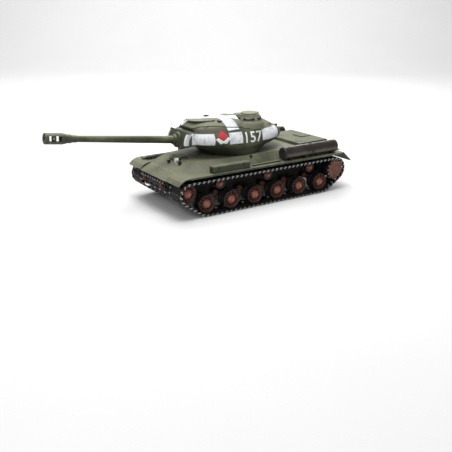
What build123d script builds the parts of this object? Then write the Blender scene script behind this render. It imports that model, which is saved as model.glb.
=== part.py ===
from build123d import *
import math
import os

os.makedirs("parts", exist_ok=True)

# A radio-controlled heavy tank at one sixteenth of full size, in millimetres.
# The gun points to -Y, the hull's left side is +X and the tracks stand on Z = 0.
# While it is drawn, Y is a station: the distance behind the first road-wheel axle.
# save() then shifts every piece so that the middle of the overall length is Y = 0.

SIDES = {"left": 1, "right": -1}

# Overall stations
MUZZLE_END = -262.5
REAR_END = 344.0
MIDDLE = (MUZZLE_END + REAR_END) / 2

# Running gear
WHEEL_COUNT = 6
WHEEL_PITCH = 54.3
WHEEL_R = 17.2
AXLE_Z = 20.6
AXLE_R = 2.0
RUN_GAP = 0.05
TRACK_X = 75.3
ARM_REACH = 20.0
PIVOT_Z = 31.2
PIVOT_R = 3.0
IDLER = (-40.4, 46.0)
SPROCKET = (305.0, 43.8)
SPROCKET_TEETH = 14
ROLLER_STATIONS = (30.5, 139.6, 244.8)
ROLLER_Z = 54.0
ROLLER_R = 9.8

# Track
LINK_COUNT = 82
TRACK_W = 40.6
LINK_T = 3.0
HORN_H = 5.0
SPROCKET_PIN_R = 22.75
IDLER_PIN_R = 19.7
CORNER_R = 34.0
TOOTH_X = 14.0
CHANNEL_W = 4.0

# Hull
TUB_X = 48.5
BELLY_Z = 26.0
WALL = 2.0
NOSE_X = 48.0
FENDER_X = 96.5
FENDER_Z = 77.0
FENDER_T = 1.6
ROOF_Z = 91.5
NOSE = (-65.0, 64.5)
GLACIS_TOP = -8.0
ROOF_REAR = 318.0
GUARD_BASE = FENDER_Z - FENDER_T
GUARD_REAR = 336.5
PLAN_LOW = [(52.0, -42.0), (79.0, 5.0), (76.0, 90.0), (76.0, 125.0), (74.0, 178.0), (72.0, GUARD_REAR)]
PLAN_HIGH = [(45.0, GLACIS_TOP), (46.0, 3.0), (61.0, 86.0), (62.5, 128.0), (57.0, 178.0), (56.0, ROOF_REAR)]
DECK_FRONT = 238.0

# Turret
RING_STATION = 105.0
RING_HOLE_R = 50.4
TURRET_BASE_Z = 92.3
TURRET_TOP_Z = 158.8
TRUNNION = (15.0, 121.5)
GUN_RAISE = 7.1
NOSE_R = 20.0
SHIELD_R = 28.5
MANTLET_X = 33.0
BARREL_R = 7.1
CUPOLA = (28.0, 133.0)
LOADER = (-24.0, 112.0)
LOADER_RIM_Z = 154.0

# Drive gears
DRIVE_MODULE = 0.8
DRIVE_TEETH = 32
PINION_TEETH = 10
RING_MODULE = 1.0
RING_TEETH = 88
TURRET_PINION_TEETH = 12


def save(name, *solids):
    """Write one node, shifted from stations to the part's own frame."""
    shape = Compound(children=[Pos(0, -MIDDLE, 0) * one for group in solids for one in group.solids()])
    export_step(shape, f"parts/{name}.step")


def block(x0, x1, y0, y1, z0, z1):
    return Pos((x0 + x1) / 2, (y0 + y1) / 2, (z0 + z1) / 2) * Box(x1 - x0, y1 - y0, z1 - z0)


def rod_x(x0, x1, y, z, r):
    """Round bar across the hull."""
    return Pos((x0 + x1) / 2, y, z) * Rot(0, 90, 0) * Cylinder(r, abs(x1 - x0))


def rod_y(x, y0, y1, z, r):
    return Pos(x, (y0 + y1) / 2, z) * Rot(90, 0, 0) * Cylinder(r, abs(y1 - y0))


def post(x, y, z0, z1, r):
    return Pos(x, y, (z0 + z1) / 2) * Cylinder(r, z1 - z0)


def side_cut(points, x0, x1):
    """Prism across the hull from a side view outline of (station, height)."""
    return Pos(x0, 0, 0) * extrude(Plane.YZ * make_face(Polyline(*points, close=True)), x1 - x0)


def plan_cut(points, z0, z1):
    return Pos(0, 0, z0) * extrude(make_face(Polyline(*points, close=True)), z1 - z0)


def turned_x(profile, y, z):
    """Solid turned about a crosswise axis from (offset along X, radius) points."""
    return Pos(0, y, z) * revolve(make_face(Polyline(*profile, close=True)), Axis.X)


def turned_z(profile, x, y):
    """Solid turned about an upright axis from (radius, height) points."""
    return Pos(x, y, 0) * revolve(Plane.XZ * make_face(Polyline(*profile, close=True)), Axis.Z)


def on_side(shape, side):
    """The pieces are drawn on the left; the right-hand ones are their mirror image."""
    return shape if side > 0 else shape.mirror(Plane.YZ)


def gear_outline(teeth, module, turn, outward=1):
    """Straight-flanked teeth with running play, one of them centred on the angle turn."""
    pitch_r = teeth * module / 2
    tip_r = pitch_r + outward * 0.75 * module
    root_r = pitch_r - outward * 1.25 * module
    root_half = 0.95 * module / pitch_r
    tip_half = 0.34 * module / pitch_r
    points = []
    for k in range(teeth):
        centre = math.radians(turn) + 2 * math.pi * k / teeth
        for r, angle in ((root_r, -root_half), (tip_r, -tip_half), (tip_r, tip_half), (root_r, root_half)):
            points.append((r * math.cos(centre + angle), r * math.sin(centre + angle)))
    return points


# ---------------------------------------------------------------- running gear

def wheel_profile(r):
    """Twin-rimmed disc wheel: a groove between the rims clears the track horns."""
    rim = 11.3
    groove = 3.4
    bore = AXLE_R + RUN_GAP
    return [(-rim, bore), (-rim, r), (-groove, r), (-groove, 9.5), (groove, 9.5), (groove, r),
            (rim, r), (rim, r - 2.4), (8.4, r - 3.2), (7.4, 8.4), (11.2, 7.2), (12.6, 5.2), (12.6, bore)]


def hub_cap(base, r, depth):
    return [(base, 0), (base, r), (base + 0.6 * depth, 0.86 * r), (base + depth, 0.45 * r), (base + depth, 0)]


def road_wheel(y, z):
    wheel = turned_x(wheel_profile(WHEEL_R), y, z)
    cap = turned_x(hub_cap(12.6, 5.0, 3.1), y, z)
    return Pos(TRACK_X, 0, 0) * wheel, Pos(TRACK_X, 0, 0) * cap


def return_roller(y):
    bore = AXLE_R + RUN_GAP
    profile = [(-9, bore), (-9, ROLLER_R), (-3.4, ROLLER_R), (-3.4, 4.3), (3.4, 4.3), (3.4, ROLLER_R),
               (9, ROLLER_R), (9, 7.6), (7.6, 7.0), (7.6, 4.8), (9.4, 4.0), (9.4, bore)]
    roller = turned_x(profile, y, ROLLER_Z)
    cap = turned_x(hub_cap(9.4, 4.0, 3.3), y, ROLLER_Z)
    return Pos(TRACK_X, 0, 0) * roller, Pos(TRACK_X, 0, 0) * cap


def swing_arm(y):
    """Trailing arm: a pivot shaft into the hull, a flat arm and the wheel's stub axle."""
    pivot = (y - ARM_REACH, PIVOT_Z)
    lean = math.degrees(math.atan2(AXLE_Z - PIVOT_Z, ARM_REACH))
    length = math.hypot(ARM_REACH, AXLE_Z - PIVOT_Z)
    beam = Pos(60.0, pivot[0], pivot[1]) * Rot(lean, 0, 0) * Pos(0, length / 2, 0) * Box(4.4, length, 7.2)
    arm = beam + rod_x(57.8, 62.2, *pivot, 5.0) + rod_x(57.8, 62.2, y, AXLE_Z, 4.4)
    arm += rod_x(62.2, 63.2, y, AXLE_Z, 3.4)
    arm += rod_x(45.0, 57.8, *pivot, PIVOT_R)
    return arm + rod_x(62.2, TRACK_X + 12.2, y, AXLE_Z, AXLE_R)


def tooth_ring(x0, turn):
    """Toothed ring of the drive sprocket, three millimetres thick."""
    points = []
    for k in range(SPROCKET_TEETH):
        centre = turn + 2 * math.pi * k / SPROCKET_TEETH
        flank = ((17.8, 0.13), (19.6, 0.10), (21.8, 0.035))
        for r, angle in [(r, -a) for r, a in flank] + list(reversed(flank)):
            turned = centre + angle
            points.append((SPROCKET[0] + r * math.cos(turned), SPROCKET[1] + r * math.sin(turned)))
    return side_cut(points, x0, x0 + 3.0)


def sprocket(turn):
    """Sprocket with its shaft in one piece, a hub cap, and the drive gear on the shaft's inner end."""
    profile = [(-15.5, 0), (-15.5, 16.5), (-12.5, 16.5), (-12.5, 12), (12.5, 12), (12.5, 16.5), (15.5, 16.5),
               (15.5, 13.6), (14.0, 12.8), (14.0, 9.0), (16.8, 8.0), (16.8, 0)]
    wheel = Pos(TRACK_X, 0, 0) * turned_x(profile, *SPROCKET)
    wheel += tooth_ring(TRACK_X - TOOTH_X - 1.5, turn)
    wheel += tooth_ring(TRACK_X + TOOTH_X - 1.5, turn)
    wheel += rod_x(38.2, TRACK_X - 15.0, *SPROCKET, PIVOT_R)
    cap = Pos(TRACK_X, 0, 0) * turned_x(hub_cap(16.8, 6.2, 2.8), *SPROCKET)
    outline = [(SPROCKET[0] + a, SPROCKET[1] + b) for a, b in gear_outline(DRIVE_TEETH, DRIVE_MODULE, 180)]
    gear = side_cut(outline, 40.0, 44.0) - rod_x(39.0, 45.0, *SPROCKET, PIVOT_R + RUN_GAP)
    return wheel, cap, gear


PINION_STATION = SPROCKET[0] - DRIVE_MODULE * (DRIVE_TEETH + PINION_TEETH) / 2


def motor_pinion():
    turn = 180 / PINION_TEETH
    teeth = gear_outline(PINION_TEETH, DRIVE_MODULE, turn)
    outline = [(PINION_STATION + a, SPROCKET[1] + b) for a, b in teeth]
    return side_cut(outline, 39.6, 44.4) + rod_x(36.4, 39.6, PINION_STATION, SPROCKET[1], 1.2)


# ---------------------------------------------------------------- tracks

def belt_pins(count):
    """Track pins, evenly spaced around four circles joined by their outer tangents."""
    last = WHEEL_PITCH * (WHEEL_COUNT - 1)
    pin_z = LINK_T / 2
    circles = [((0.0, pin_z + CORNER_R), CORNER_R), ((last, pin_z + CORNER_R), CORNER_R),
               (SPROCKET, SPROCKET_PIN_R), (IDLER, IDLER_PIN_R)]
    normals = []
    for k, (centre, r) in enumerate(circles):
        after, after_r = circles[(k + 1) % len(circles)]
        dy, dz = after[0] - centre[0], after[1] - centre[1]
        span = math.hypot(dy, dz)
        along = (r - after_r) / span
        across = math.sqrt(1 - along * along)
        normals.append(((along * dy + across * dz) / span, (along * dz - across * dy) / span))
    pieces = []
    for k, (centre, r) in enumerate(circles):
        start = math.atan2(normals[k - 1][1], normals[k - 1][0])
        turn = (math.atan2(normals[k][1], normals[k][0]) - start) % (2 * math.pi)
        pieces.append(("arc", centre, r, start, r * turn))
        after, after_r = circles[(k + 1) % len(circles)]
        nx, ny = normals[k]
        ends = [(c[0] + q * nx, c[1] + q * ny) for c, q in ((centre, r), (after, after_r))]
        pieces.append(("run", ends[0], ends[1], 0, math.dist(*ends)))
    total = sum(piece[-1] for piece in pieces)

    def pin(distance):
        for kind, first, second, start, length in pieces:
            if distance <= length:
                if kind == "arc":
                    angle = start + distance / second
                    return (first[0] + second * math.cos(angle), first[1] + second * math.sin(angle))
                part = distance / length
                return tuple(a + part * (b - a) for a, b in zip(first, second))
            distance -= length
        return first

    return [pin(total * k / count) for k in range(count)], total / count


def track_link(pitch, horned):
    """One link about its own middle: X across, Y along the belt, Z towards the wheels."""
    half_w, half_t = TRACK_W / 2, LINK_T / 2
    plate_half = pitch / 2 - 1.75
    link = block(-half_w, half_w, -plate_half, plate_half, -half_t, half_t)
    for x in (-TOOTH_X, TOOTH_X):
        link -= block(x - CHANNEL_W / 2, x + CHANNEL_W / 2, -9, 9, 0, half_t + 1)
    rear_knuckles = [(-5.0, 5.0, 1), (16.3, half_w, 1), (-half_w, -16.3, 1)]
    front_knuckles = [(5.3, 11.6, -1), (-11.6, -5.3, -1)]
    for x0, x1, end in rear_knuckles + front_knuckles:
        link += block(x0, x1, min(0, end * pitch / 2), max(0, end * pitch / 2), -1.0, 1.0)
        link += rod_x(x0, x1, end * pitch / 2, 0, half_t)
    if horned:
        horn = [(-2.9, half_t - 0.2), (2.9, half_t - 0.2), (1.3, half_t + HORN_H), (-1.3, half_t + HORN_H)]
        link += side_cut(horn, -2.4, 2.4)
    return link


def track_side(pins, pitch):
    kinds = [track_link(pitch, True), track_link(pitch, False)]
    links = []
    for k, (y0, z0) in enumerate(pins):
        y1, z1 = pins[(k + 1) % len(pins)]
        heading = math.degrees(math.atan2(z1 - z0, y1 - y0))
        links.append(Pos(TRACK_X, (y0 + y1) / 2, (z0 + z1) / 2) * Rot(heading, 0, 0) * kinds[k % 2])
    return links


# ---------------------------------------------------------------- hull

def lower_hull():
    """Open tub with bosses and fixed stub axles for the running gear."""
    outer = [(-44, BELLY_Z), (312, BELLY_Z), (334, 56), (334, 75), (-36.8, 75), (-62.2, 63), (-63.2, 61.5)]
    inner = [(-42.6, 27.8), (311.2, 27.8), (332, 56.7), (332, 80), (-28, 80), (-36.3, 72.8), (-60.6, 61.4)]
    tub = side_cut(outer, -TUB_X, TUB_X) - side_cut(inner, WALL - TUB_X, TUB_X - WALL)
    for side in SIDES.values():
        for k in range(WHEEL_COUNT):
            y = k * WHEEL_PITCH - ARM_REACH
            tub += rod_x(side * (TUB_X - 0.5), side * 56.8, y, PIVOT_Z, 5.5)
            tub -= rod_x(side * 40, side * 60, y, PIVOT_Z, PIVOT_R + RUN_GAP)
        for y in ROLLER_STATIONS:
            tub += rod_x(side * (TUB_X - 0.5), side * 63.0, y, ROLLER_Z, 4.0)
            tub += rod_x(side * 63.0, side * (TRACK_X + 8.8), y, ROLLER_Z, AXLE_R)
        tub += rod_x(side * (TUB_X - 0.5), side * 61.0, *IDLER, 6.5)
        tub += rod_x(side * 61.0, side * (TRACK_X + 12.2), *IDLER, AXLE_R)
        tub += rod_x(side * (TUB_X - 0.5), side * 58.6, *SPROCKET, 11.0)
        tub -= rod_x(side * 40, side * 60, *SPROCKET, PIVOT_R + RUN_GAP)
    tub -= block(-26, 26, 110, 250, 20, 30)
    tub -= block(-2.4, 2.4, 75.6, 84, 20, 30)
    for x, y in COVER_SCREWS:
        tub -= post(x, y, 20, 30, 1.05)
    return tub


COVER_SCREWS = [(x, y) for x in (-28, 28) for y in (118, 242)]


def glacis_line(depth, z):
    """Station where the glacis, or a face a given depth below it, reaches height z."""
    rise = ROOF_Z - NOSE[1]
    run = GLACIS_TOP - NOSE[0]
    return NOSE[0] + (z - NOSE[1]) * run / rise + depth * math.hypot(run, rise) / rise


def superstructure_loft(inset, low, high):
    """Plan at guard level ruled up to a narrower one at the roof; the sides bulge round the ring."""
    run = (ROOF_REAR - GUARD_REAR) / (ROOF_Z - GUARD_BASE)
    outlines = []
    for z in (low, high):
        part = (z - GUARD_BASE) / (ROOF_Z - GUARD_BASE)
        right = []
        for (a, b), (c, d) in zip(PLAN_LOW, PLAN_HIGH):
            right.append((a + (c - a) * part - inset * 1.3, b + (d - b) * part))
        right[0] = (right[0][0], glacis_line(inset, z))
        right[-1] = (right[-1][0], GUARD_REAR + run * (z - GUARD_BASE) - inset * 1.6)
        corners = right + [(-x, y) for x, y in reversed(right)]
        outlines.append(Plane.XY.offset(z) * make_face(Polyline(*corners, close=True)))
    return loft(outlines, ruled=True)


def upper_hull():
    """Glacis, cheeks, sloped sides and roof in one moulding with both track guards."""
    shell = superstructure_loft(0, GUARD_BASE, ROOF_Z)
    join_z = FENDER_Z
    nose = [NOSE, (glacis_line(0, join_z), join_z), (glacis_line(WALL, join_z), join_z),
            (glacis_line(WALL, NOSE[1]), NOSE[1])]
    nose_plan = [(-NOSE_X, -66), (NOSE_X, -66), PLAN_LOW[0], (-PLAN_LOW[0][0], PLAN_LOW[0][1])]
    shell -= superstructure_loft(WALL, GUARD_BASE - 1.4, ROOF_Z - WALL)
    shell += side_cut(nose, -PLAN_LOW[0][0], PLAN_LOW[0][0]) & plan_cut(nose_plan, 50, 100)
    for side in SIDES.values():
        shell += on_side(track_guard(), side)
    shell += visor_bulge()
    shell -= post(0, RING_STATION, 80, 100, RING_HOLE_R)
    shell -= block(-48, 48, DECK_FRONT + 6, ROOF_REAR - 12, 80, 100)
    return shell


def track_guard():
    """Flat guard with a curved nose, a sloping rear flap and a turned-down outer lip."""
    top = [(323, FENDER_Z), (-40, FENDER_Z), (-50, 75.8), (-58, 72.2), (-65.5, 65.6)]
    under = [(-64.4, 64.4), (-57.2, 70.8), (-49.6, 74.2), (-39.8, FENDER_Z - FENDER_T)]
    tail = [(322.4, FENDER_Z - FENDER_T), (REAR_END - 1.2, 57.2), (REAR_END, 58.4)]
    guard = side_cut(top + under + tail, TUB_X + 0.3, FENDER_X)
    return guard + block(FENDER_X - 1.3, FENDER_X, -40, 322, FENDER_Z - 3.2, FENDER_Z - 0.4)


def visor_bulge():
    """Cast driver's hood on the upper glacis."""
    hood = [(-21, 84.4), (-19, 89.0), (-12, 95.2), (0, 95.2), (5, ROOF_Z - 1), (-8, ROOF_Z - 1), (-18, 85.2)]
    return side_cut(hood, -15, 15)


def engine_deck():
    """Raised deck over the engine bay with two round fan grilles and a hatch."""
    outline = [(DECK_FRONT, ROOF_Z), (DECK_FRONT + 2, 97.2), (311, 98.6), (317.5, 93.2), (317.5, ROOF_Z)]
    deck = side_cut(outline, -55.5, 55.5)
    core = [(DECK_FRONT + 3, 90), (DECK_FRONT + 4, 95.2), (310, 96.4), (315, 92), (315, 90)]
    deck -= side_cut(core, -53.5, 53.5)
    pieces = [deck]
    for x in (-33, 33):
        pieces[0] -= post(x, 262, 94, 100, 14.0)
        pieces.append(turned_z([(0, 95.3), (13.8, 95.3), (13.8, 97.9), (12.2, 98.4), (0, 98.4)], x, 262))
    pieces.append(block(-14, 14, 279, 305, 98.7, 99.8))
    return pieces


def fuel_drums():
    """Two drums a side on saddle brackets, with end caps and a strap round each."""
    drum_x, drum_z, drum_r = 82.3, 90.2, 12.3
    pieces = []
    for side in SIDES.values():
        for y0, y1 in ((175.5, 240.0), (245.5, 308.5)):
            drum = rod_y(drum_x, y0 + 1.2, y1 - 1.2, drum_z, drum_r)
            cap_front = rod_y(drum_x, y0, y0 + 1.2, drum_z, drum_r - 1.6)
            cap_rear = rod_y(drum_x, y1 - 1.2, y1, drum_z, drum_r - 1.6)
            pieces += [on_side(drum + cap_front + cap_rear, side)]
            for y in (y0 + 13, y1 - 13):
                cradle = block(drum_x - 9, drum_x + 9, y - 2, y + 2, FENDER_Z, drum_z - 4.6)
                pieces.append(on_side(cradle - rod_y(drum_x, y - 5, y + 5, drum_z, drum_r + 0.05), side))
    return pieces


def fender_stowage():
    """Long tool boxes on both guards, a rod with its clamp block, and a tool roll on the right-hand nose."""
    lid_z = 87.6
    boxes = []
    for side, y0, y1 in ((1, 9.0, 90.0), (-1, 44.0, 125.0)):
        box = block(80, 93, y0, y1, FENDER_Z, lid_z) + block(79.6, 93.4, y0 - 0.4, y1 + 0.4, lid_z, 89.5)
        boxes.append(on_side(box, side))
    for side, y0, y1 in ((1, 100.0, 168.0), (-1, -20.0, 34.0)):
        boxes.append(on_side(rod_y(86, y0, y1, FENDER_Z + 1.5, 1.4), side))
    boxes.append(block(-80, -70, -46, -16, FENDER_Z, FENDER_Z + 3.6))
    return boxes


def headlight_and_horn():
    """Headlight on its stalk with a horn to the left of it and a bare lamp bracket to the right."""
    glacis = side_cut([NOSE, (GLACIS_TOP, ROOF_Z), (GLACIS_TOP, 50), (-65, 50)], -60, 60)
    pieces = []
    for x, y, tall, r in ((18.0, -23.0, 3.6, 3.6), (29.0, -23.0, 2.0, 2.6), (-4.0, -27.0, 1.6, 2.2)):
        foot_z = ROOF_Z - (GLACIS_TOP - y) * (ROOF_Z - NOSE[1]) / (GLACIS_TOP - NOSE[0])
        foot = block(x - 1.6, x + 1.6, y - 2, y + 2, foot_z - 1, foot_z + tall)
        head = rod_y(x, y - 3.4, y + 2.4, foot_z + tall + r - 0.4, r)
        pieces.append(foot + head - glacis)
    return pieces


# ---------------------------------------------------------------- inside the hull

def gearboxes():
    """Two drive units with their motors, and the bridge that carries the turret motor."""
    pieces = []
    for side in SIDES.values():
        y0, y1 = PINION_STATION - 16, SPROCKET[0] + 4
        plate = block(34.0, 36.2, y0, y1, 27.9, 60.0) - rod_x(30, 40, PINION_STATION, SPROCKET[1], 1.3)
        pieces.append(on_side(plate, side))
        pieces.append(on_side(rod_x(8.0, 33.9, PINION_STATION, SPROCKET[1], 11.5), side))
    bridge = block(-TUB_X, TUB_X, TURRET_PINION[1] - 8, TURRET_PINION[1] + 8, 81.4, 83.2)
    for x in (-TUB_X, TUB_X - 1.8):
        bridge += block(x, x + 1.8, TURRET_PINION[1] - 8, TURRET_PINION[1] + 8, 75, 81.4)
    bridge -= post(*TURRET_PINION, 80, 85, 1.3)
    pieces += [bridge, post(*TURRET_PINION, 58, 81.3, 8.0)]
    return pieces


TURRET_PINION = (0.0, RING_STATION + RING_MODULE * (RING_TEETH - TURRET_PINION_TEETH) / 2)


def battery_pack():
    """Six round cells in two rows under shrink wrap, with a lead block at one end."""
    cells = [rod_y(x, 116, 244, 38, 10.8) for x in (-11.4, 11.4)]
    return cells + [block(-8, 8, 244.4, 249.4, 33, 43)]


def electronics():
    """Control board, radio receiver, loudspeaker and the body of the power switch."""
    board = block(-24, 24, 52, 104, 36, 37.6)
    posts = [post(x, y, 27.9, 35.9, 2.2) for x in (-20, 20) for y in (56, 100)]
    receiver = block(-12, 12, 60, 92, 37.7, 45)
    speaker = turned_z([(0, 27.9), (13, 27.9), (17, 35.5), (17, 37), (0, 37)], 0, 22)
    switch = block(-5, 5, 73.5, 86.5, 28.5, 35.5)
    return [board, receiver, speaker, switch] + posts


def battery_cover():
    cover = block(-32, 32, 106, 254, 24.2, BELLY_Z)
    for x, y in COVER_SCREWS:
        cover -= post(x, y, 20, 30, 1.05)
    return cover


def screws():
    return [post(x, y, 24.2, 27.6, 1.0) + post(x, y, 23.2, 24.2, 2.1) for x, y in COVER_SCREWS]


# ---------------------------------------------------------------- turret

# height, front station, rear station, widest station, half width, front and rear fullness
TURRET_SECTIONS = [
    (TURRET_BASE_Z, 51.0, 159.0, 105, 54.0, 0.55, 0.55),
    (99.0, 40.0, 178.0, 104, 58.6, 0.60, 0.56),
    (107.0, 26.0, 201.0, 103, 61.0, 0.66, 0.58),
    (116.0, 8.0, 220.0, 102, 61.6, 0.74, 0.60),
    (126.0, 1.5, 219.0, 100, 60.4, 0.80, 0.60),
    (135.0, 1.5, 205.0, 98, 57.0, 0.80, 0.60),
    (143.0, 4.0, 189.0, 94, 51.0, 0.78, 0.58),
    (150.0, 11.0, 170.0, 88, 42.0, 0.74, 0.56),
    (155.5, 24.0, 146.0, 84, 30.0, 0.66, 0.55),
    (158.5, 46.0, 118.0, 82, 15.0, 0.56, 0.55),
]


def turret_outline(z, front, rear, widest, half_width, front_full, rear_full):
    """Closed plan outline at one height, as four quarter curves from nose to tail and back."""
    quarters = []
    nose, tail = (front, front_full), (rear, rear_full)
    for side, (start, full) in ((1, nose), (1, tail), (-1, tail), (-1, nose)):
        bend = widest + full * (start - widest)
        edge = side * half_width
        quarter = [(0, start), (full * edge, start), (edge, bend), (edge, widest)]
        quarters.append(Bezier(*(quarter if len(quarters) % 2 == 0 else quarter[::-1])))
    return Plane.XY.offset(z) * make_face(quarters)


def turret_casting():
    body = loft([turret_outline(*section) for section in TURRET_SECTIONS])
    return body & block(-80, 80, -20, 240, TURRET_BASE_Z, TURRET_TOP_Z)


def turret_hollow():
    """Inside of the casting, which stops behind the solid nose."""
    inner = []
    for z, front, rear, widest, half_width, _, rear_full in TURRET_SECTIONS[1:-2]:
        nose = max(front + 5, 38)
        inner.append(turret_outline(z, nose, rear - 5, widest, half_width - 4.5, 0.6, rear_full))
    return loft(inner) & block(-80, 80, -20, 240, TURRET_BASE_Z + 6, TURRET_TOP_Z)


def trunnion_sector(r0, r1, low, high, x):
    """Ring sector about the trunnion between two angles above straight ahead."""
    y, z = TRUNNION
    ring = rod_x(-x, x, y, z, r1) - rod_x(-x - 1, x + 1, y, z, r0)
    reach = 80
    steps = [math.radians(low + (high - low) * k / 4) for k in range(5)]
    fan = [(y, z)] + [(y - reach * math.cos(a), z + reach * math.sin(a)) for a in steps]
    return ring & side_cut(fan, -x, x)


def turret_shell():
    shell = turret_casting()
    shell -= trunnion_sector(NOSE_R, 60, -60, 74, MANTLET_X + 1.2)
    shell += rod_x(-MANTLET_X, MANTLET_X, *TRUNNION, NOSE_R) - block(-50, 50, -30, 60, 60, 115.5) \
        - block(-50, 50, 16, 60, 60, 160)
    shell -= turret_hollow()
    shell -= post(0, RING_STATION, 85, 110, 42.5)
    shell -= block(-8.2, 8.2, -20, 36, 112.5, 134.0) & rod_x(-10, 10, *TRUNNION, 40)
    shell -= rod_x(-12.5, 12.5, *TRUNNION, 3.05)
    rim = LOADER_RIM_Z
    shell += turned_z([(11.7, 144), (15.5, 144), (15.5, rim - 0.8), (14.7, rim), (11.7, rim)], *LOADER)
    shell -= post(*LOADER, 140, 175, 11.7) + post(*LOADER, rim, 175, 18)
    shell -= post(*CUPOLA, 120, 175, 25.05)
    return shell


def commander_cupola():
    """Cast ring with a belt of vision slits; its foot fills the bulge in the turret's side."""
    profile = [(15.5, 137), (25, 137), (25, 151.6), (24.3, 154.4), (22.8, 157.0), (21.0, 159.4),
               (20.0, 161.2), (19.8, 163.4), (15.5, 163.4)]
    ring = turned_z(profile, *CUPOLA)
    for k in range(6):
        turn = math.radians(23 + 60 * k)
        slit = Pos(*CUPOLA, 156.4) * Rot(0, 0, math.degrees(turn)) * Pos(23.4, 0, 0) * Box(3.6, 12.0, 3.2)
        ring -= slit
    return ring


def commander_hatch():
    """Round lid lying on the cupola's rim, with a hinge arm at the back."""
    lid = turned_z([(0, 163.7), (16.5, 163.7), (16.5, 165.4), (14.5, 166.8), (0, 167.4)], *CUPOLA)
    arm = block(CUPOLA[0] - 3, CUPOLA[0] + 3, CUPOLA[1] + 14, CUPOLA[1] + 19.2, 163.75, 165.55)
    return lid + arm + rod_x(CUPOLA[0] - 4, CUPOLA[0] + 4, CUPOLA[1] + 19.2, 164.65, 0.9)


def loader_hatch():
    base = LOADER_RIM_Z + 0.3
    profile = [(0, base), (13.5, base), (13.5, base + 0.8), (12.0, base + 1.4), (0, base + 1.6)]
    lid = turned_z(profile, *LOADER)
    arm = block(LOADER[0] - 3, LOADER[0] + 3, LOADER[1] + 11, LOADER[1] + 15, base, base + 1.4)
    return lid + arm + rod_x(LOADER[0] - 4, LOADER[0] + 4, LOADER[1] + 15, base + 0.7, 0.7)


def turret_fittings():
    """Two periscopes, a ventilator dome, the rear machine gun and the aerial base."""
    casting = turret_casting()
    pieces = []
    for x, y, top in ((31, 63, 155.4), (-12, 61, 159.6)):
        pieces.append(turned_z([(0, 140), (4.6, 140), (4.6, top - 1.8), (3.6, top - 0.6), (0, top)], x, y))
    pieces.append(turned_z([(0, 140), (8.0, 140), (8.0, 153.0), (6.5, 154.6), (0, 155.4)], -8, 146))
    ball = Pos(-14, 217, 124.6) * Sphere(6.2) + rod_y(-14, 217, 234, 124.6, 1.6)
    pieces.append(ball)
    pieces.append(post(-40, 150, 130, 152, 2.0))
    return [piece - casting for piece in pieces]


def turret_ring():
    """Bearing ring through the roof with a retaining flange and inward gear teeth."""
    teeth = [(x, RING_STATION + y) for x, y in gear_outline(RING_TEETH, RING_MODULE, 90, -1)]
    ring = post(0, RING_STATION, 84.6, TURRET_BASE_Z, RING_HOLE_R - 0.4)
    ring += post(0, RING_STATION, 84.6, 88.6, RING_HOLE_R + 2.6)
    ring -= plan_cut(teeth, 84, 90.6)
    return ring - post(0, RING_STATION, 84, 95, 42.5)


def turret_pinion():
    turn = 90 + 180 / TURRET_PINION_TEETH
    x, y = TURRET_PINION
    outline = [(x + a, y + b) for a, b in gear_outline(TURRET_PINION_TEETH, RING_MODULE, turn)]
    return plan_cut(outline, 84.4, 89.4) + post(x, y, 81.6, 84.4, 1.2)


# ---------------------------------------------------------------- gun

def raised(shape):
    """The gun is drawn level about its trunnion, then set at its rest elevation."""
    return Pos(0, *TRUNNION) * Rot(-GUN_RAISE, 0, 0) * Pos(0, -TRUNNION[0], -TRUNNION[1]) * shape


def turned_gun(profile):
    """Solid turned about the gun's axis from (distance ahead of the trunnion, radius) points."""
    turned = revolve(make_face(Polyline(*[(d, r) for d, r in profile], close=True)), Axis.X)
    return Pos(0, *TRUNNION) * Rot(0, 0, -90) * turned


def bore_gun(d0, d1, r):
    return rod_y(0, TRUNNION[0] - d1, TRUNNION[0] - d0, TRUNNION[1], r)


def mantlet():
    """Curved shield, gun collar and the cradle that hangs on the trunnion pin."""
    shield = trunnion_sector(NOSE_R + 0.5, SHIELD_R, -21, 39, MANTLET_X)
    shield += turned_gun([(24, 0), (24, 14.5), (28.5, 14.0), (30.4, 11.2), (31.6, 9.4), (35.4, 9.0),
                          (36, 8.4), (36, 0)])
    cradle = block(-6, 6, TRUNNION[0] - 24, TRUNNION[0] + 4, TRUNNION[1] - 5.2, TRUNNION[1] + 5.2)
    cradle += rod_x(-12, 12, *TRUNNION, PIVOT_R)
    body = shield + cradle
    body -= bore_gun(4.2, 33, 4.2)
    body -= bore_gun(22.4, 60, BARREL_R + 0.2)
    return raised(body)


def gun_barrel():
    profile = [(17, 3.2), (17, 4.0), (32.8, 4.0), (32.8, BARREL_R), (92, 6.7), (222, 5.5), (222, 4.95),
               (236, 4.95), (236, 3.6), (60, 3.6), (60, 3.2)]
    return raised(turned_gun(profile))


def muzzle_brake():
    """Double-baffle brake with two see-through windows and a sleeve on the barrel."""
    length = 278.5
    profile = [(222.2, 5.0), (222.2, 6.0), (232, 6.4), (234, 7.6), (236.5, 7.6), (237.5, 7.2), (248, 9.5),
               (length - 1, 9.5), (length, 8.8), (length, 3.8), (236.4, 3.8), (236.4, 5.0)]
    brake = turned_gun(profile)
    for d0, d1 in ((250.4, 260.6), (262.8, 272.4)):
        brake -= block(-12, 12, TRUNNION[0] - d1, TRUNNION[0] - d0, TRUNNION[1] - 5.4, TRUNNION[1] + 5.4)
    return raised(brake)


# ---------------------------------------------------------------- write the nodes

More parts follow.
